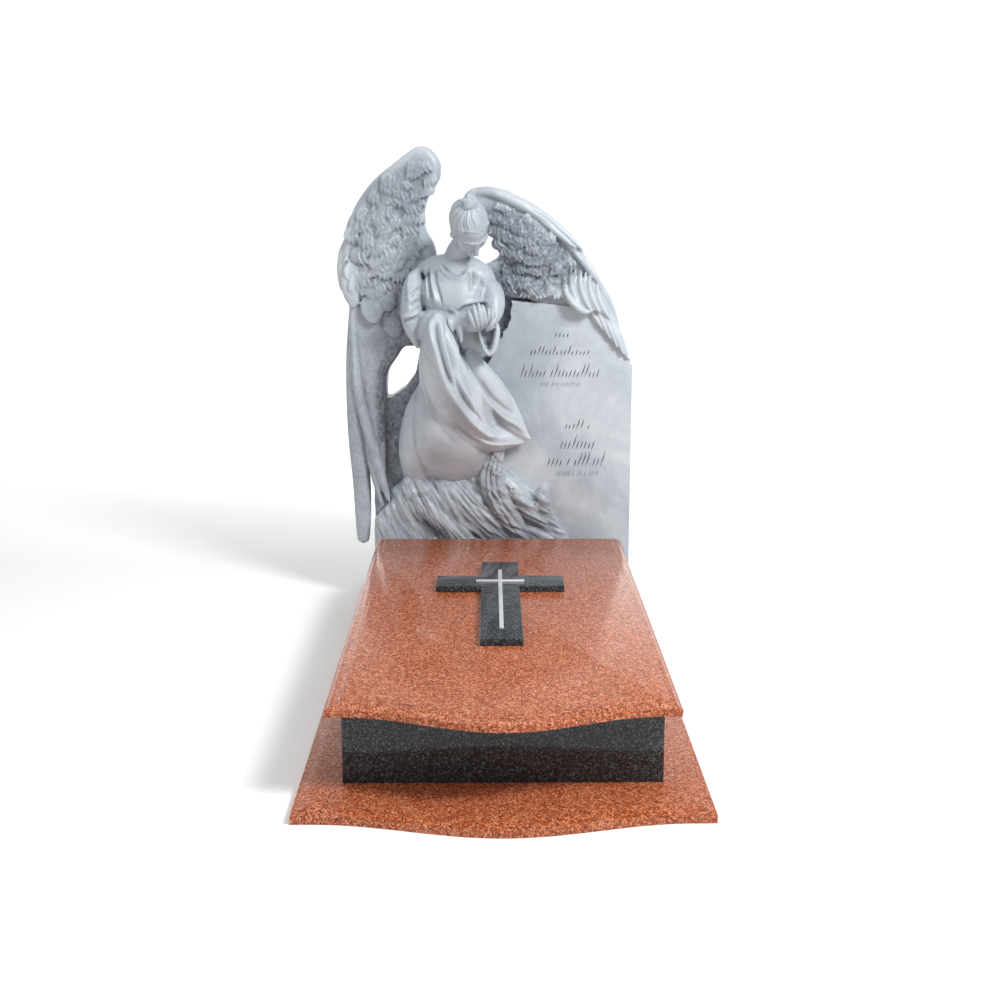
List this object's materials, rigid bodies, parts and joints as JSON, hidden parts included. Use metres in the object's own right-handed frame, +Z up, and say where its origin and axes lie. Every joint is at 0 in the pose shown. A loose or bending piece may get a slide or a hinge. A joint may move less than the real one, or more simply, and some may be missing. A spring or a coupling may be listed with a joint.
{
  "type": "angel headstone",
  "caption": "Carved marble angel headstone with spread wings and a smooth panel, standing behind a low granite tomb with a bowed ledger and a flat cross.",
  "frame": {"origin": "centre of the base slab's underside, on the ground", "axes": "+Z up, +Y from the bowed front to the headstone, +X to the viewer's right"},
  "size_m": [1.0637, 2.15, 1.5995],
  "materials": {
    "marble": "honed, the panel polished",
    "red_granite": "polished",
    "dark_granite": "polished",
    "light_metal": "satin"
  },
  "bodies": {
    "root": {"base_slab": "red_granite", "kerb_front": "dark_granite", "kerb_back": "dark_granite", "kerb_left": "dark_granite", "kerb_right": "dark_granite", "ledger": "red_granite", "cross_stone": "dark_granite", "cross_metal": "light_metal", "headstone": "marble"}
  },
  "joints": []
}
